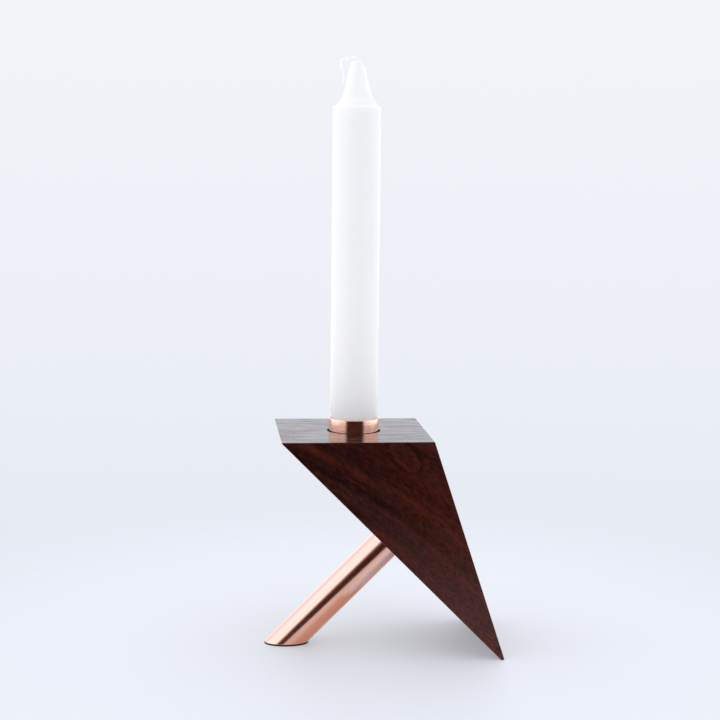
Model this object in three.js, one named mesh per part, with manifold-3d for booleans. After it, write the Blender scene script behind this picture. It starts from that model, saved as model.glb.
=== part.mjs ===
// A table candlestick: a three-sided walnut body that stands on its own lower edge and on one slanted
// copper leg. A copper cup is glued into a bore in the level top and holds a crown candle.
//
// Millimetres, +Z up. Workshop frame while building: X runs from the left corner of the top towards the
// wooden foot edge, Y from front to back with 0 at mid-depth, Z up from the surface it stands on.
// The finished group is then shifted so that its origin is the middle of its footprint, at the bottom.

import * as THREE from "three";
import { mergeVertices } from "three/addons/utils/BufferGeometryUtils.js";
import Module from "manifold-3d";

// Wooden body: the outline is a triangle with its level side on top and its apex low on the right.
const topWidth = 70; // length of the level top
const apexOffset = 105; // from the left corner across to the line where the two slopes would meet
const apexDrop = 105; // from the top down to that line
const bodyDepth = 70; // front to back
const footLand = 1.6; // width of the flat that the lower edge is trimmed to
const topEase = 0.35; // rounding of the long edges of the top
const footEase = 0.45; // rounding of the long edges of the foot
const faceEase = 0.3; // rounding around the front and back faces

// Cup for the candle: a drawn copper cap, open upwards, standing a little proud of the wood. Its inside
// follows the candle's radius.
const cupFromCorner = 36.1; // from the left corner of the top to the cup's axis
const cupWall = 0.55;
const cupFloor = 0.9;
const cupHeight = 25; // outside height
const cupProud = 6.2; // how far the rim stands above the wood
const cupBaseRound = 2; // outside rounding between its floor and its wall
const cupBoreClearance = 0.8; // open ring between the cup and its bore
const glueBed = 0.5; // glue under the cup
const cupGlueHeight = 9; // how far the glue rises round the cup
const glueGap = 0.05; // between the hardened glue and what it bonds

// Leg: copper tube, square to the left slope, mitred level at the foot.
const legFromCorner = 75.4; // along the left slope, from the top's left corner to the leg's axis
const legOuterRadius = 7.5;
const legWall = 1;
const legInsertion = 18; // how far the tube goes into the wood
const legEndSpace = 1.5; // left empty beyond the tube's upper end
const legSocketClearance = 0.4; // ring of glue between the tube and its socket
const legGlueRecess = 1; // the glue stays this far below the mouth of the socket
const padThickness = 0.6;
const padInset = 0.1; // the pad is this much smaller than the tube's foot all round
const padBond = 0.15; // glue line between the pad and the tube

// Candle: a cast crown candle with a tapered foot and a cone on its shoulder.
const candleRadius = 11.15;
const candleLength = 189.2; // foot to the tip of the wax
const candleFootTaper = 0.35; // the foot is this much smaller, in radius, than the body
const candleFootEase = 1; // rounding of the foot's edge
const candleClearance = 0.1; // between the candle and the cup, at the rim
const candleShoulderRound = 0.9;
const coneHeight = 20.1; // shoulder to the tip of the wax
const coneTipRadius = 2; // flat top of the wax round the wick
const coneCurve = [
  [0.2, 0.71],
  [0.5, 0.53],
  [0.8, 0.39],
]; // share of the cone's height, share of the shoulder's radius there
const restGap = 0.3; // between the candle's foot and the floor of the cup

// Wick: braided cotton, dipped in wax.
const wickRadius = 0.75;
const wickClearance = 0.35; // between the wick and the wax round it
const wickEndSpace = 0.6; // the wick ends this far above the candle's foot
const wickSides = 10;
const wickOverTip = [
  [0, -4],
  [0, -2],
  [0.1, -0.7],
  [0.25, 0.3],
  [-0.15, 1.3],
  [-1.2, 1.75],
  [-2.6, 1.6],
  [-4.2, 1.35],
  [-5.8, 1.2],
  [-7.1, 0.35],
  [-7.6, -1.3],
  [-7.2, -3.2],
]; // the curl's middle line, right of the candle's axis and above the tip
const wickDownSide = [
  [1.3, -5.4],
  [0.55, -7.4],
  [0.6, -9.2],
]; // then its space to the cone's left side, and its height above the tip

const roundSegments = 48; // facets round the cup and the candle
const tubeSegments = 40; // facets round the leg
const cornerSteps = 4; // facets in a small rounding
const coneSteps = 10; // rings on the candle's cone
const wickSteps = 52; // sections along the wick

// What follows from the sizes above.
const leftRun = apexOffset / apexDrop; // how far the left slope goes across for each unit it drops
const rightRun = (apexOffset - topWidth) / apexDrop;
const footTrim = footLand / (leftRun - rightRun);
const bodyHeight = apexDrop - footTrim;
const slopeAngle = Math.atan2(apexDrop, apexOffset); // of the left slope, below the top
const cupInnerRadius = candleRadius + candleClearance;
const cupOuterRadius = cupInnerRadius + cupWall;
const cupBoreRadius = cupOuterRadius + cupBoreClearance;
const cupBottom = bodyHeight + cupProud - cupHeight;
const cupBoreFloor = cupBottom - glueBed - 2 * glueGap;
const socketRadius = legOuterRadius + legSocketClearance;
const socketDepth = legInsertion + legEndSpace;
const legFoot = padThickness + padBond; // height of the mitred foot
const shoulder = candleLength - coneHeight; // above the candle's foot
const candleFootRadius = candleRadius - candleFootTaper;
const neckRadius = candleRadius - candleShoulderRound;
const cone = new THREE.SplineCurve([
  new THREE.Vector2(neckRadius, 0),
  ...coneCurve.map(([height, radius]) => new THREE.Vector2(neckRadius * radius, coneHeight * height)),
  new THREE.Vector2(coneTipRadius, coneHeight),
]); // (radius, height above the shoulder)

const wasm = await Module();
wasm.setup();

// A closed three.js geometry as a solid that can be joined and cut.
function solidFrom(geometry) {
  const bare = geometry.clone();
  bare.deleteAttribute("normal");
  bare.deleteAttribute("uv");
  const merged = mergeVertices(bare, 1e-4);
  return new wasm.Manifold(
    new wasm.Mesh({
      numProp: 3,
      vertProperties: new Float32Array(merged.attributes.position.array),
      triVerts: new Uint32Array(merged.index.array),
    }),
  );
}

// The solid as a three.js geometry again.
function geometryFrom(solid) {
  const mesh = solid.getMesh();
  const geometry = new THREE.BufferGeometry();
  geometry.setAttribute("position", new THREE.BufferAttribute(mesh.vertProperties, 3));
  geometry.setIndex(new THREE.BufferAttribute(mesh.triVerts, 1));
  const flat = geometry.toNonIndexed();
  flat.computeVertexNormals();
  return flat;
}

function named(name, geometry, colour, roughness, metalness) {
  const material = new THREE.MeshStandardMaterial({ color: colour, roughness, metalness });
  const mesh = new THREE.Mesh(geometry, material);
  mesh.name = name;
  return mesh;
}

// Points of an arc about (x, y), from one angle to another, both included.
function arc(x, y, radius, from, to, steps = cornerSteps) {
  const points = [];
  for (let i = 0; i <= steps; i += 1) {
    const angle = from + ((to - from) * i) / steps;
    points.push(new THREE.Vector2(x + radius * Math.cos(angle), y + radius * Math.sin(angle)));
  }
  return points;
}

// An outline whose corners, listed anticlockwise, are rounded each by its own radius.
function roundedOutline(corners) {
  const points = [];
  corners.forEach(({ at, radius }, i) => {
    const before = corners[(i + corners.length - 1) % corners.length].at;
    const after = corners[(i + 1) % corners.length].at;
    const toBefore = before.clone().sub(at).normalize();
    const toAfter = after.clone().sub(at).normalize();
    const half = Math.acos(toBefore.dot(toAfter)) / 2;
    const inward = toBefore.clone().add(toAfter).normalize();
    const centre = at.clone().addScaledVector(inward, radius / Math.sin(half));
    const start = toBefore.multiplyScalar(radius / Math.tan(half)).add(at).sub(centre).angle();
    points.push(...arc(centre.x, centre.y, radius, start, start + Math.PI - 2 * half));
  });
  return points;
}

// A solid of revolution about the Z axis from points given as (radius, height).
function turned(points, segments) {
  return new THREE.LatheGeometry(points, segments).rotateX(Math.PI / 2);
}

function point(x, y) {
  return new THREE.Vector2(x, y);
}

// A cup turned about Z, floor at height 0: outside and inside radius, height, floor, base rounding.
function cupProfile(outer, inner, height, floor, baseRound) {
  const lip = (outer - inner) / 2;
  const innerRound = Math.max(baseRound - (outer - inner), lip);
  return [
    point(0, 0),
    ...arc(outer - baseRound, baseRound, baseRound, -Math.PI / 2, 0),
    ...arc(outer - lip, height - lip, lip, 0, Math.PI),
    ...arc(inner - innerRound, floor + innerRound, innerRound, 0, -Math.PI / 2),
    point(0, floor),
  ];
}

// Turns a piece made along +Z so that it runs up the leg's axis, square to the left slope, and puts its
// origin where that axis meets the slope.
function alongLeg(object) {
  const x = legFromCorner * Math.cos(slopeAngle);
  const z = bodyHeight - legFromCorner * Math.sin(slopeAngle);
  object.rotation.set(0, slopeAngle, 0);
  object.position.set(x, 0, z);
  object.updateMatrixWorld(true);
  return object;
}

// Distance down the leg's axis from the slope to a given height.
function legDownTo(height) {
  const slopeHeight = bodyHeight - legFromCorner * Math.sin(slopeAngle);
  return (slopeHeight - height) / Math.cos(slopeAngle);
}

function woodBody() {
  const outline = roundedOutline([
    { at: point(0, bodyHeight), radius: topEase },
    { at: point(apexOffset - footTrim * leftRun, 0), radius: footEase },
    { at: point(apexOffset - footTrim * rightRun, 0), radius: footEase },
    { at: point(topWidth, bodyHeight), radius: topEase },
  ]);
  const prism = new THREE.ExtrudeGeometry(new THREE.Shape(outline), {
    depth: bodyDepth - 2 * faceEase,
    bevelThickness: faceEase,
    bevelSize: faceEase,
    bevelOffset: -faceEase,
    bevelSegments: cornerSteps,
  });
  prism.rotateX(Math.PI / 2);
  prism.translate(0, bodyDepth / 2 - faceEase, 0);

  const above = 1; // the cutters start outside the wood
  const bore = turned(
    [
      point(0, cupBoreFloor),
      point(cupBoreRadius, cupBoreFloor),
      point(cupBoreRadius, bodyHeight + above),
      point(0, bodyHeight + above),
    ],
    roundSegments,
  );
  bore.translate(cupFromCorner, 0, 0);

  const socket = turned(
    [
      point(0, -socketRadius),
      point(socketRadius, -socketRadius),
      point(socketRadius, socketDepth),
      point(0, socketDepth),
    ],
    tubeSegments,
  );
  socket.applyMatrix4(alongLeg(new THREE.Object3D()).matrixWorld);

  const cut = solidFrom(prism).subtract(solidFrom(bore)).subtract(solidFrom(socket));
  return named("wood_body", geometryFrom(cut), 0x3a1611, 0.4, 0);
}

function candleCup() {
  const profile = cupProfile(cupOuterRadius, cupInnerRadius, cupHeight, cupFloor, cupBaseRound);
  const cup = named("candle_cup", turned(profile, roundSegments), 0xd89478, 0.28, 1);
  cup.position.set(cupFromCorner, 0, cupBottom);
  return cup;
}

// The glue takes the shape of the space between the cup and the bottom of its bore.
function cupGlue() {
  const outer = cupBoreRadius - glueGap;
  const inner = cupOuterRadius + glueGap;
  const profile = [
    point(0, 0),
    point(outer, 0),
    point(outer, cupGlueHeight),
    point(inner, cupGlueHeight),
    ...arc(inner - cupBaseRound, glueBed + cupBaseRound, cupBaseRound, 0, -Math.PI / 2),
    point(0, glueBed),
  ];
  const glue = named("cup_glue", turned(profile, roundSegments), 0xcdb98a, 0.35, 0);
  glue.position.set(cupFromCorner, 0, cupBoreFloor + glueGap);
  return glue;
}

function supportLeg() {
  const foot = -legDownTo(0) - legOuterRadius * 2; // long enough to be mitred
  const inner = legOuterRadius - legWall;
  const tube = turned(
    [
      point(inner, foot),
      point(legOuterRadius, foot),
      point(legOuterRadius, legInsertion),
      point(inner, legInsertion),
      point(inner, foot),
    ],
    tubeSegments,
  );
  tube.applyMatrix4(alongLeg(new THREE.Object3D()).matrixWorld);
  const reach = 8 * legOuterRadius;
  const below = new THREE.BoxGeometry(reach, reach, reach);
  below.translate(legFootX(legFoot), 0, legFoot - reach / 2);
  const mitred = solidFrom(tube).subtract(solidFrom(below));
  return named("support_leg", geometryFrom(mitred), 0xd89478, 0.3, 1);
}

// Where the leg's axis crosses a given height.
function legFootX(height) {
  return legFromCorner * Math.cos(slopeAngle) - legDownTo(height) * Math.sin(slopeAngle);
}

function legGlue() {
  const outer = socketRadius - glueGap;
  const inner = legOuterRadius + glueGap;
  const sleeve = turned(
    [
      point(inner, legGlueRecess),
      point(outer, legGlueRecess),
      point(outer, legInsertion),
      point(inner, legInsertion),
      point(inner, legGlueRecess),
    ],
    tubeSegments,
  );
  return alongLeg(named("leg_glue", sleeve, 0xcdb98a, 0.35, 0));
}

// A thin black pad with the oval of the mitred tube.
function legFootPad() {
  const oval = new THREE.Shape();
  const across = legOuterRadius - padInset;
  const along = legOuterRadius / Math.cos(slopeAngle) - padInset;
  oval.absellipse(0, 0, along, across, 0, 2 * Math.PI);
  const slab = new THREE.ExtrudeGeometry(oval, {
    depth: padThickness,
    bevelEnabled: false,
    curveSegments: tubeSegments,
  });
  const pad = named("leg_foot_pad", slab, 0x0b0b0c, 0.85, 0);
  pad.position.set(legFootX(legFoot), 0, 0);
  return pad;
}

function candleWax() {
  const rim = cupHeight - cupFloor - restGap; // the cup's rim, above the candle's foot
  const hole = wickRadius + wickClearance;
  const round = arc(neckRadius, shoulder - candleShoulderRound, candleShoulderRound, 0, Math.PI / 2);
  const profile = [
    point(hole, 0),
    ...arc(candleFootRadius - candleFootEase, candleFootEase, candleFootEase, -Math.PI / 2, 0),
    point(candleRadius, rim),
    ...round,
    ...cone
      .getPoints(coneSteps)
      .slice(1)
      .map(({ x, y }) => point(x, shoulder + y)),
    point(hole, candleLength),
    point(hole, 0),
  ];
  return named("candle_wax", turned(profile, roundSegments), 0xf3f4f7, 0.45, 0);
}

// Radius of the candle's cone at a height below the tip, which is given as a negative number.
function coneRadiusAt(height) {
  const above = coneHeight + height;
  const points = cone.getPoints(8 * coneSteps);
  const next = points.findIndex(({ y }) => y >= above);
  const low = points[next - 1];
  const high = points[next];
  return low.x + ((high.x - low.x) * (above - low.y)) / (high.y - low.y);
}

// Straight through the wax, then curled over the tip and down its left side.
function candleWick() {
  const beside = wickDownSide.map(([space, z]) => [-coneRadiusAt(z) - space - wickRadius, z]);
  const middle = [[0, wickEndSpace - candleLength], ...wickOverTip, ...beside];
  const route = new THREE.CatmullRomCurve3(
    middle.map(([x, z]) => new THREE.Vector3(x, 0, candleLength + z)),
  );
  // Sections follow the points of the route, so the long straight part takes only a few of them.
  route.getUtoTmapping = (share) => share;
  const section = new THREE.Shape();
  section.absarc(0, 0, wickRadius, 0, 2 * Math.PI);
  const wick = new THREE.ExtrudeGeometry(section, {
    steps: wickSteps,
    curveSegments: wickSides / 2,
    extrudePath: route,
  });
  return named("candle_wick", wick, 0xe9e9ec, 0.8, 0);
}

function candle() {
  const group = new THREE.Group();
  group.add(candleWax(), candleWick());
  group.position.set(cupFromCorner, 0, cupBottom + cupFloor + restGap);
  return group;
}

const stand = new THREE.Group();
stand.add(woodBody(), candleCup(), cupGlue(), supportLeg(), legGlue(), legFootPad());

const candlestick = new THREE.Group();
candlestick.add(stand, candle());
const bounds = new THREE.Box3().setFromObject(candlestick, true);
const centre = bounds.getCenter(new THREE.Vector3());
candlestick.position.set(-centre.x, -centre.y, -bounds.min.z);

export default candlestick;
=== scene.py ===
import math

import bmesh
import bpy
from mathutils import Matrix, Vector


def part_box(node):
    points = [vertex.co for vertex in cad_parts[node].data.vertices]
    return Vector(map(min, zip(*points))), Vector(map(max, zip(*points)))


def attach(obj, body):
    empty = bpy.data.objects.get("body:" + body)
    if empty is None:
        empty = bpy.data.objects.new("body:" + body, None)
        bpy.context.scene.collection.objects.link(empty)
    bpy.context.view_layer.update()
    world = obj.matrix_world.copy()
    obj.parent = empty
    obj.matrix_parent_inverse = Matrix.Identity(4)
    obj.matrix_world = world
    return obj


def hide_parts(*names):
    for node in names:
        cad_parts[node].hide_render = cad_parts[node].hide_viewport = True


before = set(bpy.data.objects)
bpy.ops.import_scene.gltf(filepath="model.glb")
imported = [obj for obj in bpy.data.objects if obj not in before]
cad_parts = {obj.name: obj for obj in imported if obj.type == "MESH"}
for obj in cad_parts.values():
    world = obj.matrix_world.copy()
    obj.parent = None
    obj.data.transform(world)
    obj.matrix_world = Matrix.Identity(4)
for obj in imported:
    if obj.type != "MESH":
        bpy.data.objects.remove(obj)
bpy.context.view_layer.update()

# A walnut wedge that stands on its lower edge and on one slanted copper leg. A copper cup in its top
# holds a white crown candle. Metres throughout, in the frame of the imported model.
mm = 0.001
touching = 0.01 * mm  # closer together than this is the same place


def middle(node):
    low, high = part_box(node)
    return (low + high) / 2


def blend(a, b, share):
    return a + (b - a) * share


# A socket that can stand in a sum: each operator adds the Math node for it.
class Wire:
    def __init__(self, shader, socket):
        self.shader = shader
        self.socket = socket

    def math(self, operation, *others):
        return self.shader.math(operation, self, *others)

    def __add__(self, other):
        return self.math("ADD", other)

    def __sub__(self, other):
        return self.math("SUBTRACT", other)

    def __mul__(self, other):
        return self.math("MULTIPLY", other)

    def __truediv__(self, other):
        return self.math("DIVIDE", other)

    def __neg__(self):
        return self.math("MULTIPLY", -1)

    def __abs__(self):
        return self.math("ABSOLUTE")

    def __radd__(self, other):
        return self.shader.math("ADD", other, self)

    def __rsub__(self, other):
        return self.shader.math("SUBTRACT", other, self)

    def __rmul__(self, other):
        return self.shader.math("MULTIPLY", other, self)

    def __rtruediv__(self, other):
        return self.shader.math("DIVIDE", other, self)


# A node tree, and the nodes that the finishes below are wired from.
class Shader:
    def __init__(self, owner):
        owner.use_nodes = True
        self.tree = owner.node_tree
        self.tree.nodes.clear()

    def node(self, kind, settings, sockets, output=0):
        made = self.tree.nodes.new(kind)
        for name, value in settings.items():
            if name == "stops":
                self.setStops(made.color_ramp, value)
            else:
                setattr(made, name, value)
        for name, value in sockets.items():
            socket = made.inputs[name]
            if isinstance(value, Wire):
                self.tree.links.new(value.socket, socket)
            else:
                socket.default_value = (*value, 1) if socket.type == "RGBA" else value
        return Wire(self, made.outputs[output]) if made.outputs else made

    def setStops(self, ramp, stops):
        while len(ramp.elements) < len(stops):
            ramp.elements.new(0.5)
        for element, (position, colour) in zip(ramp.elements, stops):
            element.position = position
            element.color = (*colour, 1)

    def math(self, operation, *values):
        return self.node("ShaderNodeMath", {"operation": operation}, dict(enumerate(values)))

    def place(self, output="Object"):
        return self.node("ShaderNodeTexCoord", {}, {}, output)

    # The piece's own coordinates in millimetres, turned by angles in degrees about the origin.
    def millimetres(self, turn=(0, 0, 0)):
        turned = [math.radians(angle) for angle in turn]
        sockets = {"Vector": self.place(), "Rotation": turned, "Scale": [1 / mm] * 3}
        return self.node("ShaderNodeMapping", {"vector_type": "POINT"}, sockets)

    def split(self, vector):
        made = self.node("ShaderNodeSeparateXYZ", {}, {"Vector": vector})
        outputs = made.socket.node.outputs
        return [Wire(self, outputs[axis]) for axis in "XYZ"]

    def vector(self, x, y, z):
        return self.node("ShaderNodeCombineXYZ", {}, {"X": x, "Y": y, "Z": z})

    def noise(self, at, scale=1.0, detail=2.0, roughness=0.5):
        sockets = {"Vector": at, "Scale": scale, "Detail": detail, "Roughness": roughness}
        return self.node("ShaderNodeTexNoise", {}, sockets)

    # Distance to the nearest of many scattered points.
    def cells(self, at, scale=1.0):
        return self.node("ShaderNodeTexVoronoi", {"feature": "F1"}, {"Vector": at, "Scale": scale})

    # 0 below low, 1 above high, eased between them.
    def rise(self, value, low, high):
        sockets = {"Value": value, "From Min": low, "From Max": high}
        return self.node("ShaderNodeMapRange", {"interpolation_type": "SMOOTHSTEP"}, sockets)

    # The value's run from low to high laid out on a new one.
    def spread(self, value, low, high, newLow, newHigh):
        sockets = {"Value": value, "From Min": low, "From Max": high}
        sockets["To Min"] = newLow
        sockets["To Max"] = newHigh
        return self.node("ShaderNodeMapRange", {"clamp": True}, sockets)

    def ramp(self, value, stops):
        return self.node("ShaderNodeValToRGB", {"stops": stops}, {"Fac": value})

    # Colour a at a share of 0, colour b at 1. The node's colour sockets are 6 and 7, its result is 2.
    def mix(self, share, a, b):
        settings = {"data_type": "RGBA", "clamp_factor": True}
        return self.node("ShaderNodeMix", settings, {0: share, 6: a, 7: b}, 2)

    def bump(self, height, strength, depth):
        return self.node("ShaderNodeBump", {}, {"Height": height, "Strength": strength, "Distance": depth})

    def surface(self, **sockets):
        named = {name.replace("_", " "): value for name, value in sockets.items()}
        skin = self.node("ShaderNodeBsdfPrincipled", {}, named)
        self.node("ShaderNodeOutputMaterial", {}, {"Surface": skin})


# Linear colour from the usual 0 to 255 numbers.
def tone(red, green, blue):
    def linear(level):
        share = level / 255
        return share / 12.92 if share <= 0.04045 else ((share + 0.055) / 1.055) ** 2.4

    return (linear(red), linear(green), linear(blue))


def newFinish(name):
    material = bpy.data.materials.new(name)
    return material, Shader(material)


view = dict(
    aim=Vector((-10.36, 0, 135.91)) * mm,
    distance=787.3 * mm,
    azimuth=-5.609,  # degrees, positive swings the camera to the right
    elevation=7.04,
    roll=0.621,
    lens=83.7,
)


def makeCamera():
    lens = bpy.data.cameras.new("camera")
    lens.sensor_width = 36
    lens.lens = view["lens"]
    lens.clip_start = 0.01
    lens.clip_end = 20
    camera = bpy.data.objects.new("camera", lens)
    bpy.context.scene.collection.objects.link(camera)
    swing = Matrix.Rotation(math.radians(view["azimuth"]), 4, "Z")
    tilt = Matrix.Rotation(math.radians(90 - view["elevation"]), 4, "X")
    roll = Matrix.Rotation(math.radians(view["roll"]), 4, "Z")
    back = (swing @ tilt).to_3x3() @ Vector((0, 0, view["distance"]))
    camera.matrix_world = Matrix.Translation(view["aim"] + back) @ swing @ tilt @ roll
    bpy.context.scene.camera = camera
    bpy.context.scene.view_settings.view_transform = "Standard"


studio = dict(
    top=(1.0, 1.01, 1.04),
    side=(1.1, 1.12, 1.17),
    back=(1.28, 1.31, 1.41),
    sideMirrored=(1.76, 1.77, 1.85),  # the low part of the side walls, as shiny things mirror it
    front=(0.039, 0.012, 0.009),  # the unlit room behind the camera, as shiny things mirror it
    frontGlow=(0.74, 0.75, 0.76),  # and as it lights everything else
    frontHalfWidth=(36, 46),  # degrees either side of the front where the dark starts to lift
    frontHeight=(15, 40),  # degrees above the horizon where it ends
    lampFrom=Vector((-0.69, -0.16, 0.69)),  # a big soft lamp, up on the left
    lampSize=(25, 44),  # degrees from its middle where it starts to fade and where it ends
    lamp=(1.42, 1.52, 1.7),  # as shiny things mirror it
    lampGlow=(1.3, 1.31, 1.33),  # and as it lights everything else
    # height of the sight line, colour of the backdrop there
    backdrop=[
        (-0.33, tone(236, 240, 245)),
        (-0.25, tone(229, 233, 241)),
        (-0.12, tone(236, 239, 246)),
        (0.09, tone(242, 244, 249)),
    ],
)


# Plain pale backdrop for the camera, and the studio that the object mirrors: white walls, a soft lamp
# and a dark room towards the front.
def makeStudio():
    world = bpy.data.worlds.new("studio")
    bpy.context.scene.world = world
    shader = Shader(world)
    toward = shader.place("Generated")
    x, y, z = shader.split(toward)
    level = (x * x + y * y).math("SQRT").math("MAXIMUM", 0.001)
    inner, outer = [math.cos(math.radians(a)) for a in studio["frontHalfWidth"]]
    lowEnd, highEnd = [math.sin(math.radians(a)) for a in studio["frontHeight"]]
    ahead = shader.rise(-y / level, outer, inner)
    dark = ahead * (1 - shader.rise(z, lowEnd, highEnd))
    around = shader.mix(shader.rise(abs(x) / level, 0.15, 0.8), studio["back"], studio["side"])
    walls = shader.mix(shader.rise(z, 0.35, 0.85), around, studio["top"])
    lampX, lampY, lampZ = studio["lampFrom"].normalized()
    near, far = [math.cos(math.radians(a)) for a in studio["lampSize"]]
    mirrored = shader.node("ShaderNodeLightPath", {}, {}, "Is Glossy Ray")
    lowSide = shader.rise(abs(x) / level, 0.3, 0.85) * (1 - shader.rise(z, 0.1, 0.4)) * mirrored
    walls = shader.mix(lowSide, walls, studio["sideMirrored"])
    lamp = shader.rise(x * lampX + y * lampY + z * lampZ, far, near)
    walls = shader.mix(lamp, walls, shader.mix(mirrored, studio["lampGlow"], studio["lamp"]))
    room = shader.mix(mirrored, studio["frontGlow"], studio["front"])
    lit = shader.mix(dark, walls, room)
    low, high = studio["backdrop"][0][0], studio["backdrop"][-1][0]
    stops = [((height - low) / (high - low), colour) for height, colour in studio["backdrop"]]
    seen = shader.ramp(shader.spread(z, low, high, 0, 1), stops)
    toCamera = shader.node("ShaderNodeLightPath", {}, {}, "Is Camera Ray")
    glow = shader.node("ShaderNodeBackground", {}, {"Color": shader.mix(toCamera, lit, seen)})
    shader.node("ShaderNodeOutputWorld", {}, {"Surface": glow})


table = dict(
    radius=400 * mm,
    fadeFrom=75 * mm,  # from its middle, where it starts to fade into the backdrop
    fadeTo=340 * mm,
    white=(0.537, 0.549, 0.583),
    own=0.46,  # light of its own, which keeps its tone near the backdrop's
)


def makeFloor():
    bm = bmesh.new()
    bmesh.ops.create_circle(bm, cap_ends=True, radius=table["radius"], segments=128)
    floor = newPiece("floor", bm)
    material, shader = newFinish("white table")
    x, y, _ = shader.split(shader.place())
    reach = (x * x + y * y).math("SQRT")
    solid = 1 - shader.rise(reach, table["fadeFrom"], table["fadeTo"])
    shader.surface(
        Base_Color=table["white"],
        Roughness=0.6,
        Emission_Color=table["white"],
        Emission_Strength=table["own"],
        Alpha=solid,
    )
    floor.data.materials.append(material)


def newPiece(name, bm):
    mesh = bpy.data.meshes.new(name)
    bm.to_mesh(mesh)
    bm.free()
    piece = bpy.data.objects.new(name, mesh)
    bpy.context.scene.collection.objects.link(piece)
    return piece


def mount(piece, material, body, node):
    piece.data.materials.append(material)
    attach(piece, body)
    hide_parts(node)
    print(f"{piece.name}: {len(piece.data.polygons)} faces")


def moved(made, offset):
    verts = [part for part in made["geom"] if isinstance(part, bmesh.types.BMVert)]
    for vert in verts:
        vert.co += offset
    return [part for part in made["geom"] if isinstance(part, bmesh.types.BMFace)]


# Rounds edges to a true radius, whatever the angle between their faces.
def rounded(bm, edges, radius, segments):
    offset = radius * math.tan(edges[0].calc_face_angle() / 2)
    bmesh.ops.bevel(
        bm,
        geom=edges,
        offset=offset,
        offset_type="OFFSET",
        segments=segments,
        profile=0.5,
        affect="EDGES",
        material=-1,
        clamp_overlap=False,
    )


# Smooth over roundings, crisp where two faces meet at more than this angle.
def shadeSmooth(bm, crisp=35):
    for face in bm.faces:
        face.smooth = True
    for edge in bm.edges:
        edge.smooth = len(edge.link_faces) == 2 and edge.calc_face_angle() < math.radians(crisp)


def evenNormals(piece):
    modifier = piece.modifiers.new("even normals", "WEIGHTED_NORMAL")
    modifier.keep_sharp = True


def radiusFrom(axis, point, direction):
    across = point - axis
    return (across - direction * across.dot(direction)).length


block = dict(
    cupFromCorner=36.1 * mm,  # from the top's left corner to the cup's axis
    topWidth=70 * mm,
    leftRun=1,  # how far each slope goes across for each unit it drops
    rightRun=1 / 3,
    topEase=0.35 * mm,
    footEase=0.5 * mm,
    faceEase=0.3 * mm,
    boreSpace=0.8 * mm,  # open ring round the cup
    boreDepth=19.4 * mm,
    boreEase=0.25 * mm,
    socketSpace=0.4 * mm,
    socketDepth=19.5 * mm,
    roundSides=160,
    segments=6,
)


def legFrame():
    low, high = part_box("support_leg")
    radius = (high.y - low.y) / 2
    foot = Vector((middle("leg_foot_pad").x, 0, low.z))
    lean = math.acos(radius / (foot.x - low.x))
    along = Vector((math.sin(lean), 0, math.cos(lean)))
    end = high - radius * Vector((math.cos(lean), 0, math.sin(lean)))
    end.y = 0
    return radius, foot, end, along


def cutter(name, bottom, direction, radius, depth):
    bm = bmesh.new()
    turn = direction.to_track_quat("Z", "Y").to_matrix().to_4x4()
    bmesh.ops.create_cone(
        bm,
        cap_ends=True,
        segments=block["roundSides"],
        radius1=radius,
        radius2=radius,
        depth=depth,
        matrix=Matrix.Translation(bottom + direction * depth / 2) @ turn,
    )
    return newPiece(name, bm)


# Takes the cutters' shapes out of a piece for good.
def drill(piece, cutters):
    for tool in cutters:
        cut = piece.modifiers.new("cut", "BOOLEAN")
        cut.operation = "DIFFERENCE"
        cut.solver = "EXACT"
        cut.object = tool
    seen = piece.evaluated_get(bpy.context.evaluated_depsgraph_get())
    cutMesh = bpy.data.meshes.new_from_object(seen)
    piece.modifiers.clear()
    old = piece.data
    piece.data = cutMesh
    bpy.data.meshes.remove(old)
    for tool in cutters:
        bpy.data.meshes.remove(tool.data)


# The mouth of a round hole: edges on its rim, in the plane through a point with that normal.
def mouth(bm, axisPoint, direction, radius):
    def onRim(vert):
        away = abs((vert.co - axisPoint).dot(direction))
        aside = abs(radiusFrom(axisPoint, vert.co, direction) - radius)
        return max(away, aside) < 2 * touching

    return [edge for edge in bm.edges if all(onRim(vert) for vert in edge.verts)]


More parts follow.
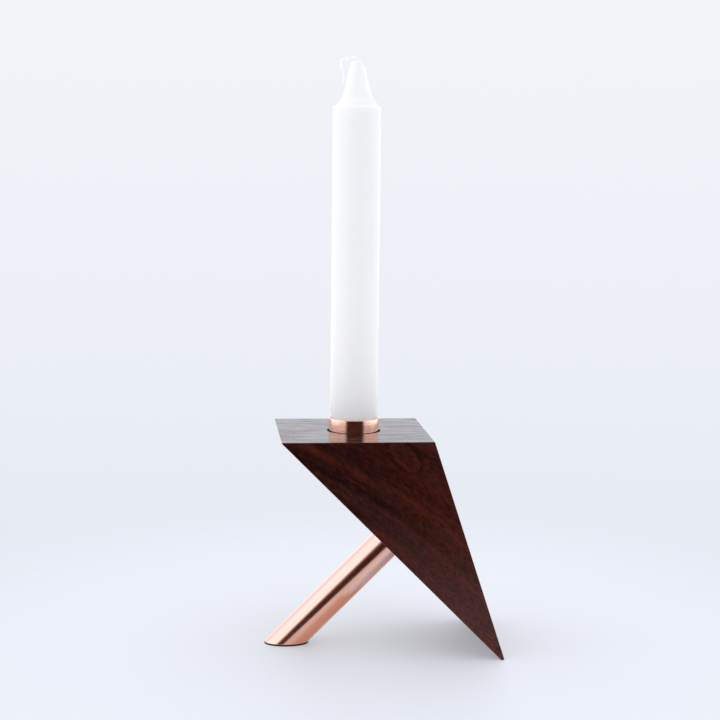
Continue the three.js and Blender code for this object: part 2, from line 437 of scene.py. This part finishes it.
def woodBody():
    low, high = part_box("wood_body")
    cupAxis = middle("candle_cup").xy.to_3d()
    top = high.z
    left = cupAxis.x - block["cupFromCorner"]
    right = left + block["topWidth"]
    corners = [
        (left, top),
        (left + top * block["leftRun"], 0),
        (right + top * block["rightRun"], 0),
        (right, top),
    ]
    bm = bmesh.new()
    front = bm.faces.new([bm.verts.new((x, low.y, z)) for x, z in corners])
    moved(bmesh.ops.extrude_face_region(bm, geom=[front]), Vector((0, high.y - low.y, 0)))
    bmesh.ops.recalc_face_normals(bm, faces=bm.faces)
    for x, z in corners:
        ease = block["topEase"] if z > 0 else block["footEase"]
        corner = Vector((x, 0, z))
        along = [
            edge
            for edge in bm.edges
            if all(radiusFrom(corner, vert.co, Vector((0, 1, 0))) < touching for vert in edge.verts)
        ]
        rounded(bm, along, ease, block["segments"])
    outline = [
        edge for edge in bm.edges if abs(edge.verts[0].co.y - edge.verts[1].co.y) < touching
    ]
    rounded(bm, outline, block["faceEase"], block["segments"])
    wood = newPiece("walnut_body", bm)

    legRadius, foot, _, along = legFrame()
    cupLow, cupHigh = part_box("candle_cup")
    boreRadius = (cupHigh.x - cupLow.x) / 2 + block["boreSpace"]
    boreFloor = Vector((cupAxis.x, 0, top - block["boreDepth"]))
    socketRadius = legRadius + block["socketSpace"]
    slopeNormal = -along
    corner = Vector((left, 0, top))
    mouthMiddle = foot + along * (corner - foot).dot(along)
    above = 5 * mm  # how far the cutters stand out of the wood
    tools = [
        cutter("bore", boreFloor, Vector((0, 0, 1)), boreRadius, block["boreDepth"] + above),
        cutter("socket", mouthMiddle - along * above, along, socketRadius, block["socketDepth"] + above),
    ]
    drill(wood, tools)

    bm = bmesh.new()
    bm.from_mesh(wood.data)
    boreTop = Vector((cupAxis.x, 0, top))
    for centre, direction, radius in (
        (boreTop, Vector((0, 0, 1)), boreRadius),
        (mouthMiddle, slopeNormal, socketRadius),
    ):
        rim = mouth(bm, centre, direction, radius)
        rounded(bm, rim, block["boreEase"], 3)
    shadeSmooth(bm)
    bm.to_mesh(wood.data)
    bm.free()
    evenNormals(wood)
    mount(wood, walnut(), "stand", "wood_body")


grain = dict(
    lean=-44,  # degrees, the grain runs down to the right
    bow=(8, 0.0019),  # where along the grain the lines bow most, and how much
    heart=(76.0, 34.0),  # the rings' middle: across the grain, and in front of the face
    spacing=2.9,  # mm from ring to ring
    light=tone(86, 33, 21),
    middle=tone(59, 19, 13),
    dark=tone(35, 11, 8),
    streak=tone(17, 6, 5),
    young=(tone(94, 38, 23), 0.7),  # the paler wood towards the foot, and how much of it shows there
    # middle, half width and strength of each dark band
    bands=[(55.8, 4.4, 0.85), (47.0, 2.8, 0.65), (65.5, 1.2, 0.5), (70.5, 0.7, 0.4), (84, 2.2, 0.5)],
    eye=(-62, 74, 9.5, 4.6),  # along, across, and half its length and width
)


# Oiled walnut as one solid block of grain, so that it runs on through every face. Along, deep and
# across are millimetres in the plank's own directions.
def walnut():
    material, shader = newFinish("walnut")
    depthOfFace = -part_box("wood_body")[0].y / mm
    along, deep, across = shader.split(shader.millimetres(turn=(0, grain["lean"], 0)))
    heartAcross, heartFront = grain["heart"]
    bowAt, bow = grain["bow"]
    slow = shader.noise(shader.vector(along / 60, deep / 22, across / 22), detail=1)
    quick = shader.noise(shader.vector(along / 18, deep / 4.5, across / 4.5), detail=2)
    line = across + (along + bowAt) * (along + bowAt) * bow + (slow - 0.5) * 7 + (quick - 0.5) * 2
    side = line - heartAcross
    front = deep + (depthOfFace + heartFront)
    ring = (side * side + front * front).math("SQRT")
    wide = shader.noise(shader.vector(ring / 7, along / 300, 0.5), detail=1)
    phase = (ring / grain["spacing"] + wide * 2.5).math("FRACT")
    growth = shader.ramp(
        phase,
        [
            (0, grain["middle"]),
            (0.35, grain["light"]),
            (0.75, grain["middle"]),
            (0.92, grain["dark"]),
            (1, grain["middle"]),
        ],
    )
    colour = shader.mix(0.35, growth, grain["middle"])
    # dark bands, ragged along the grain
    ragged = shader.noise(shader.vector(along / 24, deep / 9, across / 2.2), detail=3, roughness=0.6)
    faceLine = line + (deep + depthOfFace) * 0.35
    for centre, half, strength in grain["bands"]:
        away = abs(faceLine - centre) / half + (ragged - 0.5) * 1.6
        colour = shader.mix((1 - shader.rise(away, 0.1, 1.0)) * strength, colour, grain["streak"])
    zones = shader.noise(shader.vector(along / 30, deep / 7, across / 5), detail=2)
    colour = shader.mix(shader.spread(zones, 0.35, 0.7, 0, 0.7), colour, grain["dark"])
    # a small eye where a twig grew, soft at its edge
    eyeAlong, eyeAcross, eyeLength, eyeWidth = grain["eye"]
    u = (along - eyeAlong) / eyeLength
    v = (across - eyeAcross) / eyeWidth
    eye = (u * u + v * v).math("SQRT") + (quick - 0.5) * 0.7 + (deep + depthOfFace) * 0.03
    colour = shader.mix((1 - shader.rise(abs(eye - 0.78), 0.05, 0.3)) * 0.4, colour, grain["light"])
    colour = shader.mix((1 - shader.rise(abs(eye - 1.1), 0.04, 0.22)) * 0.55, colour, grain["streak"])
    # paler towards the foot, with the fibre standing out more there
    young, share = grain["young"]
    colour = shader.mix(shader.spread(along, -60, 36, 0, share), colour, young)
    fibre = shader.noise(shader.vector(along / 3.2, deep * 1.25, across * 1.25), detail=4, roughness=0.7)
    contrast = shader.spread(along, -45, 30, 0.55, 1)
    colour = shader.mix(shader.spread(fibre, 0.34, 0.56, 1, 0) * contrast, colour, grain["streak"])
    colour = shader.mix(shader.spread(fibre, 0.5, 0.7, 0, 0.38), colour, grain["light"])
    # short open pores
    flecks = shader.cells(shader.vector(along / 3.4, deep / 0.62, across / 0.62))
    pores = 1 - shader.rise(flecks, 0.12, 0.36)
    colour = shader.mix(pores * 0.75, colour, grain["streak"])
    # the oil has dried duller along some of the grain
    figure = shader.noise(shader.vector(along / 80, deep / 4, across / 12), detail=3, roughness=0.6)
    dull = shader.spread(figure, 0.36, 0.64, 0, 0.16)
    rough = 0.11 + pores * 0.15 + (fibre - 0.5) * 0.08 + dull
    bumpy = shader.bump(fibre * 0.25 - pores, 0.3, 0.04 * mm)
    shader.surface(Base_Color=colour, Roughness=rough, IOR=1.36, Normal=bumpy)
    return material


cup = dict(
    wall=0.55 * mm,
    floor=0.9 * mm,
    baseRound=2 * mm,
    rimRound=0.26 * mm,
    sides=160,
    copper=(0.97, 0.6, 0.47),
    shade=(0.95, 0.54, 0.41),  # where handling has dulled it
)


def candleCup():
    low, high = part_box("candle_cup")
    radius = (high.x - low.x) / 2
    start = Matrix.Translation(((low.x + high.x) / 2, 0, low.z))
    bm = bmesh.new()
    bmesh.ops.create_circle(bm, cap_ends=True, radius=radius, segments=cup["sides"], matrix=start)
    base = bm.faces[:]
    lid = moved(bmesh.ops.extrude_face_region(bm, geom=base), Vector((0, 0, high.z - low.z)))
    bmesh.ops.inset_region(bm, faces=lid, thickness=cup["wall"], use_even_offset=True)
    inner = bmesh.ops.extrude_face_region(bm, geom=lid)
    moved(inner, Vector((0, 0, cup["floor"] - (high.z - low.z))))
    bmesh.ops.delete(bm, geom=lid, context="FACES_ONLY")
    bmesh.ops.recalc_face_normals(bm, faces=bm.faces)

    def ringAt(height, size):
        return [
            edge
            for edge in bm.edges
            if all(
                abs(vert.co.z - height) < touching
                and abs((vert.co - start.translation).xy.length - size) < touching
                for vert in edge.verts
            )
        ]

    inside = radius - cup["wall"]
    rounded(bm, ringAt(low.z, radius), cup["baseRound"], 8)
    rounded(bm, ringAt(low.z + cup["floor"], inside), cup["baseRound"] - cup["wall"], 6)
    rounded(bm, ringAt(high.z, radius), cup["rimRound"], 4)
    rounded(bm, ringAt(high.z, inside), cup["rimRound"], 4)
    shadeSmooth(bm)
    piece = newPiece("copper_cup", bm)
    evenNormals(piece)
    mount(piece, turnedCopper(), "stand", "candle_cup")


# Copper finished in the lathe: hairlines round the cup.
def turnedCopper():
    material, shader = newFinish("turned copper")
    x, y, z = shader.split(shader.millimetres())
    hairs = shader.noise(shader.vector(x / 25, y / 25, z * 9), detail=3, roughness=0.7)
    cloud = shader.noise(shader.vector(x, y, z), scale=0.25, detail=2)
    colour = shader.mix(shader.spread(cloud, 0.35, 0.65, 0, 1), cup["copper"], cup["shade"])
    rough = 0.13 + (hairs - 0.5) * 0.1 + (cloud - 0.5) * 0.05
    shader.surface(
        Base_Color=colour,
        Metallic=1.0,
        Roughness=rough,
        Normal=shader.bump(hairs, 0.5, 0.04 * mm),
    )
    return material


leg = dict(
    wall=1 * mm,
    sides=128,
    footEase=0.25 * mm,
    copper=(0.91, 0.51, 0.39),
    shade=(0.87, 0.46, 0.34),
    # painted shade: the lower side darker, where it mirrors the shadowed floor
    deep=(0.85, 0.35, 0.215),
    # painted reflection: the pale pink of the far floor, mirrored on the lower side near the wood
    paintedReflection=(0.95, 0.66, 0.58),
    # painted highlight: the upper side paler, where it mirrors the lamp
    paintedHighlight=(0.93, 0.58, 0.48),
    # painted reflection: the grey of the floor, mirrored along a strip of the lower side near the foot
    paintedGreyReflection=(0.8, 0.79, 0.83),
)


def supportLeg():
    radius, foot, end, along = legFrame()
    spare = 4 * radius  # run on below the foot, to be mitred off
    depth = (end - foot).length + spare
    centre = end - along * depth / 2
    place = Matrix.Translation(centre) @ along.to_track_quat("Z", "Y").to_matrix().to_4x4()
    bm = bmesh.new()
    for size in (radius, radius - leg["wall"]):
        bmesh.ops.create_cone(
            bm,
            cap_ends=False,
            segments=leg["sides"],
            radius1=size,
            radius2=size,
            depth=depth,
            matrix=place,
        )
    bmesh.ops.bisect_plane(
        bm, geom=bm.verts[:] + bm.edges[:] + bm.faces[:], plane_co=foot, plane_no=(0, 0, 1), clear_inner=True
    )
    atFoot = [edge for edge in bm.edges if all(abs(v.co.z - foot.z) < touching for v in edge.verts)]
    atEnd = [
        edge for edge in bm.edges if all(abs((v.co - end).dot(along)) < touching for v in edge.verts)
    ]
    for rims in (atFoot, atEnd):
        bmesh.ops.bridge_loops(bm, edges=rims)
    bmesh.ops.recalc_face_normals(bm, faces=bm.faces)
    outer = [
        edge
        for edge in bm.edges
        if all(
            abs(v.co.z - foot.z) < touching and abs(radiusFrom(foot, v.co, along) - radius) < touching
            for v in edge.verts
        )
    ]
    bmesh.ops.bevel(
        bm,
        geom=outer,
        offset=leg["footEase"],
        offset_type="OFFSET",
        segments=3,
        profile=0.5,
        affect="EDGES",
        material=-1,
    )
    shadeSmooth(bm)
    piece = newPiece("copper_leg", bm)
    evenNormals(piece)
    mount(piece, polishedCopper(), "stand", "support_leg")


# Tube rubbed bright by hand: faint hairlines, clouded by handling. Its highlight, shade and reflections on
# the sides are painted.
def polishedCopper():
    material, shader = newFinish("polished copper")
    radius, foot, _, _ = legFrame()
    aside, y, upward = shader.split(shader.millimetres(turn=(0, -45, 0)))
    under = (aside - (foot.x - foot.z) / mm * math.sqrt(0.5)) / (radius / mm)  # 1 along its lower side
    climb = upward - (foot.x + foot.z) / mm * math.sqrt(0.5)  # mm up the tube
    hairs = shader.noise(shader.vector(aside / 20, y / 20, upward * 5), detail=3, roughness=0.65)
    cloud = shader.noise(shader.vector(aside, y, upward / 2.5), scale=0.16, detail=3)
    blotch = shader.noise(shader.vector(aside, y, upward / 2), scale=0.3, detail=4, roughness=0.6)
    colour = shader.mix(shader.spread(cloud, 0.35, 0.65, 0, 1), leg["copper"], leg["shade"])
    # painted light on the tube: a painted highlight on its upper side, painted shade on its lower side, a
    # painted pink reflection of the far floor on that side near the wood, and a painted grey reflection of
    # the floor along a strip near the foot
    below = shader.rise(under, 0.05, 0.3)
    # mask of the painted reflection, near the wood on the lower side
    paintedReflection = shader.rise(climb + (blotch - 0.5) * 16 - under * 14, 30, 36) * below
    paintedReflection = paintedReflection * (1 - shader.rise(under, 0.66, 0.9))
    # mask of the painted shade on the lower side
    deep = (1 - paintedReflection) * below
    # painted highlight on the upper side
    colour = shader.mix((1 - shader.rise(under, -0.9, -0.2)) * 0.8, colour, leg["paintedHighlight"])
    # painted shade on the lower side
    colour = shader.mix(deep * 0.9, colour, leg["deep"])
    # painted reflection of the far floor
    colour = shader.mix(paintedReflection * 0.7, colour, leg["paintedReflection"])
    # mask of the painted grey reflection along a strip near the foot
    greyReflectionMask = shader.rise(under + (blotch - 0.5) * 0.2, 0.82, 0.92) * (1 - shader.rise(climb, 26, 33))
    colour = shader.mix(greyReflectionMask * 0.85, colour, leg["paintedGreyReflection"])
    rough = 0.16 + (hairs - 0.5) * 0.08 + (cloud - 0.5) * 0.14 + paintedReflection * 0.1 + greyReflectionMask * 0.2
    shader.surface(
        Base_Color=colour,
        Metallic=1.0,
        Roughness=rough,
        Normal=shader.bump(hairs, 0.15, 0.02 * mm),
    )
    return material


pad = dict(
    ease=0.06 * mm,
    gap=0.01 * mm,  # between the pad and the tube
    sides=128,
    black=(0.002, 0.002, 0.0022),
    worn=(0.005, 0.005, 0.0055),
)


def legFootPad():
    low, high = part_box("leg_foot_pad")
    _, foot, _, _ = legFrame()
    size = (high - low) / 2
    place = Matrix.Translation((foot.x, 0, 0)) @ Matrix.Diagonal((size.x, size.y, 1, 1))
    bm = bmesh.new()
    bmesh.ops.create_circle(bm, cap_ends=True, radius=1, segments=pad["sides"], matrix=place)
    moved(bmesh.ops.extrude_face_region(bm, geom=bm.faces[:]), Vector((0, 0, foot.z - pad["gap"])))
    bmesh.ops.recalc_face_normals(bm, faces=bm.faces)
    rims = [edge for edge in bm.edges if abs(edge.verts[0].co.z - edge.verts[1].co.z) < touching]
    rounded(bm, rims, pad["ease"], 3)
    shadeSmooth(bm)
    piece = newPiece("foot_pad", bm)
    evenNormals(piece)
    mount(piece, blackRubber(), "stand", "leg_foot_pad")


def blackRubber():
    material, shader = newFinish("black rubber")
    pitted = shader.noise(shader.millimetres(), scale=6, detail=3)
    colour = shader.mix(pitted, pad["black"], pad["worn"])
    rough = 0.7 + pitted * 0.2
    shader.surface(Base_Color=colour, Roughness=rough, Normal=shader.bump(pitted, 0.5, 0.03 * mm))
    return material


candle = dict(
    footTaper=0.35 * mm,
    footEase=1 * mm,
    taperEnd=23.8 * mm,  # above its foot, where it has its full size
    shoulderEase=0.9 * mm,
    coneHeight=20.1 * mm,
    tipRadius=2.6 * mm,
    # share of the cone's height, share of the shoulder's radius
    cone=[(0, 0.94), (0.1, 0.81), (0.2, 0.675), (0.4, 0.545), (0.64, 0.455), (0.82, 0.375)],
    bore=0.95 * mm,
    tipCut=((1.15 * mm, 0), (3.1 * mm, -2.2 * mm)),  # the tip is pared away on the right of this line
    sides=96,
    white=(0.93, 0.935, 0.945),
    shade=(0.915, 0.925, 0.945),
)


# A smooth curve through the points, with so many steps from each to the next.
def smoothThrough(points, steps):
    curve = []
    padded = [points[0] * 2 - points[1]] + points + [points[-1] * 2 - points[-2]]
    for before, start, stop, after in zip(padded, padded[1:], padded[2:], padded[3:]):
        for step in range(steps):
            t = step / steps
            bend = 2 * before - 5 * start + 4 * stop - after
            twist = 3 * start - before - 3 * stop + after
            curve.append(0.5 * (2 * start + (stop - before) * t + bend * t ** 2 + twist * t ** 3))
    return curve + [points[-1]]


def spinProfile(bm, profile, axis, sides):
    verts = [bm.verts.new((axis.x + r, axis.y, z)) for r, z in profile]
    edges = [bm.edges.new(pair) for pair in zip(verts, verts[1:] + verts[:1])]
    bmesh.ops.spin(
        bm,
        geom=verts + edges,
        cent=axis,
        axis=(0, 0, 1),
        angle=2 * math.pi,
        steps=sides,
        use_merge=True,
    )
    bmesh.ops.remove_doubles(bm, verts=bm.verts, dist=0.001 * mm)
    bmesh.ops.recalc_face_normals(bm, faces=bm.faces)


def candleWax():
    low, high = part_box("candle_wax")
    radius = (high.x - low.x) / 2
    axis = Vector(((low.x + high.x) / 2, 0, 0))
    shoulder = high.z - candle["coneHeight"]
    neck = radius - candle["shoulderEase"]
    footRadius = radius - candle["footTaper"]
    cone = [Vector((neck * r, shoulder + candle["coneHeight"] * h)) for h, r in candle["cone"]]
    cone.append(Vector((candle["tipRadius"], high.z)))
    ease = candle["footEase"]
    foot = [
        (footRadius - ease + ease * math.sin(a), low.z + ease - ease * math.cos(a))
        for a in [math.radians(step * 15) for step in range(7)]
    ]
    turn = candle["shoulderEase"]
    shoulderCurve = [
        (neck + turn * math.cos(a), shoulder - turn * (1 - math.sin(a)))
        for a in [math.radians(step * 15) for step in range(6)]
    ]
    rings = 40  # up the straight sides, so that the wax can be uneven
    start = low.z + candle["taperEnd"]
    stop = shoulder - turn
    sides = [(radius, blend(start, stop, step / rings)) for step in range(rings)]
    profile = [(candle["bore"], low.z)] + foot + sides + shoulderCurve
    profile += [tuple(point) for point in smoothThrough(cone, 6)]
    profile += [(candle["bore"], high.z)]
    bm = bmesh.new()
    spinProfile(bm, profile, axis, candle["sides"])
    cutFrom, cutTo = [Vector((axis.x + x, 0, high.z + z)) for x, z in candle["tipCut"]]
    slant = (cutTo - cutFrom).cross(Vector((0, 1, 0)))
    sliced = bmesh.ops.bisect_plane(
        bm,
        geom=bm.verts[:] + bm.edges[:] + bm.faces[:],
        plane_co=cutFrom,
        plane_no=-slant if slant.x < 0 else slant,
        clear_outer=True,
    )
    rim = [part for part in sliced["geom_cut"] if isinstance(part, bmesh.types.BMEdge)]
    bmesh.ops.holes_fill(bm, edges=rim)
    shadeSmooth(bm, 50)
    piece = newPiece("wax_candle", bm)
    mount(piece, whiteWax(), "candle", "candle_wax")


def whiteWax():
    material, shader = newFinish("white wax")
    place = shader.millimetres()
    cloud = shader.noise(place, scale=0.06, detail=2)
    skin = shader.noise(place, scale=1.3, detail=3)
    colour = shader.mix(shader.spread(cloud, 0.3, 0.7, 0, 1), candle["white"], candle["shade"])
    rough = 0.42 + (skin - 0.5) * 0.15
    shader.surface(
        Base_Color=colour,
        Roughness=rough,
        IOR=1.44,
        Subsurface_Weight=1.0,
        Subsurface_Radius=(1.0, 0.9, 0.8),
        Subsurface_Scale=4 * mm,
        Normal=shader.bump(skin, 0.12, 0.1 * mm),
    )
    return material


wick = dict(
    # middle line of the curl: right of the candle's axis, and above the tip of the wax
    curl=[
        (0, -4), (0, -2), (0.1, -0.7), (0.25, 0.3), (-0.15, 1.3), (-1.2, 1.75), (-2.6, 1.6), (-4.2, 1.35),
        (-5.8, 1.2), (-7.1, 0.35), (-7.6, -1.3), (-7.2, -3.2), (-6.4, -5.4), (-6.1, -7.4), (-6.5, -9.2),
    ],
    lowEnd=0.1 * mm,  # how far it stops short of its lower end
    strand=0.5 * mm,  # radius
    weave=(0.3 * mm, 0.16 * mm),  # how far the strands swing to the sides, and over each other
    plait=2.6 * mm,  # length of one turn of the plait
    step=0.2 * mm,
    white=(0.95, 0.95, 0.96),
    shade=(0.88, 0.88, 0.9),
    # painted glow: the wick gives light of its own, standing in for light passing through the thin cotton
    glow=0.16,  # the light that passes through such thin cotton
)


# Points at even steps along a line through the given ones.
def evenly(points, step):
    found = [points[0]]
    left = step
    for a, b in zip(points, points[1:]):
        span = (b - a).length
        while left <= span:
            found.append(a.lerp(b, left / span))
            left += step
        left -= span
    return found


def candleWick():
    low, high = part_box("candle_wick")
    waxLow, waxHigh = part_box("candle_wax")
    axis = (waxLow.x + waxHigh.x) / 2
    tip = waxHigh.z
    curl = [Vector((axis + x * mm, 0, tip + z * mm)) for x, z in wick["curl"]]
    route = evenly([Vector((axis, 0, low.z + wick["lowEnd"]))] + smoothThrough(curl, 12), wick["step"])
    line = bpy.data.curves.new("plait", "CURVE")
    line.dimensions = "3D"
    line.bevel_depth = wick["strand"]
    line.bevel_resolution = 2
    line.use_fill_caps = True
    wide, thick = wick["weave"]
    for strand in range(3):
        points = []
        for index, at in enumerate(route):
            ahead = route[min(index + 1, len(route) - 1)] - route[max(index - 1, 0)]
            aside = Vector((0, 1, 0))
            over = ahead.cross(aside).normalized()
            turn = 2 * math.pi * (index * wick["step"] / wick["plait"] + strand / 3)
            points.append(at + aside * wide * math.sin(turn) + over * thick * math.sin(2 * turn))
        spline = line.splines.new("POLY")
        spline.points.add(len(points) - 1)
        for target, point in zip(spline.points, points):
            target.co = (*point, 1)
    made = bpy.data.objects.new("plait", line)
    bpy.context.scene.collection.objects.link(made)
    seen = made.evaluated_get(bpy.context.evaluated_depsgraph_get())
    piece = bpy.data.objects.new("cotton_wick", bpy.data.meshes.new_from_object(seen))
    bpy.context.scene.collection.objects.link(piece)
    bpy.data.curves.remove(line)
    for face in piece.data.polygons:
        face.use_smooth = True
    mount(piece, waxedCotton(), "candle", "candle_wick")


def waxedCotton():
    material, shader = newFinish("waxed cotton")
    threads = shader.noise(shader.millimetres(), scale=5, detail=3)
    colour = shader.mix(threads, wick["white"], wick["shade"])
    rough = 0.5 + threads * 0.2
    shader.surface(
        Base_Color=colour,
        Roughness=rough,
        Subsurface_Weight=1.0,
        Subsurface_Radius=(1.0, 1.0, 1.0),
        Subsurface_Scale=1.2 * mm,
        # painted glow, light of its own
        Emission_Color=colour,
        Emission_Strength=wick["glow"],
        Normal=shader.bump(threads, 0.4, 0.05 * mm),
    )
    return material


glue = dict(amber=(0.62, 0.45, 0.2), brown=(0.48, 0.31, 0.12))


# The two beds of glue are mostly hidden, so they keep their plain shapes.
def hardenedGlue():
    material, shader = newFinish("hardened glue")
    place = shader.millimetres()
    cloud = shader.noise(place, scale=0.5, detail=3)
    bubbles = 1 - shader.rise(shader.cells(place, scale=1.4), 0.08, 0.16)
    colour = shader.mix(shader.spread(cloud, 0.35, 0.65, 0, 1), glue["amber"], glue["brown"])
    rough = 0.28 + cloud * 0.2 + bubbles * 0.2
    bumpy = shader.bump(cloud - bubbles * 0.5, 0.5, 0.1 * mm)
    shader.surface(Base_Color=colour, Roughness=rough, IOR=1.5, Normal=bumpy)
    for node in ("cup_glue", "leg_glue"):
        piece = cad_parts[node]
        piece.data.materials.clear()
        piece.data.materials.append(material)


makeCamera()
makeStudio()
makeFloor()
print("camera, studio and floor are in place")
woodBody()
candleCup()
supportLeg()
legFootPad()
candleWax()
candleWick()
hardenedGlue()
print("the candlestick is built")
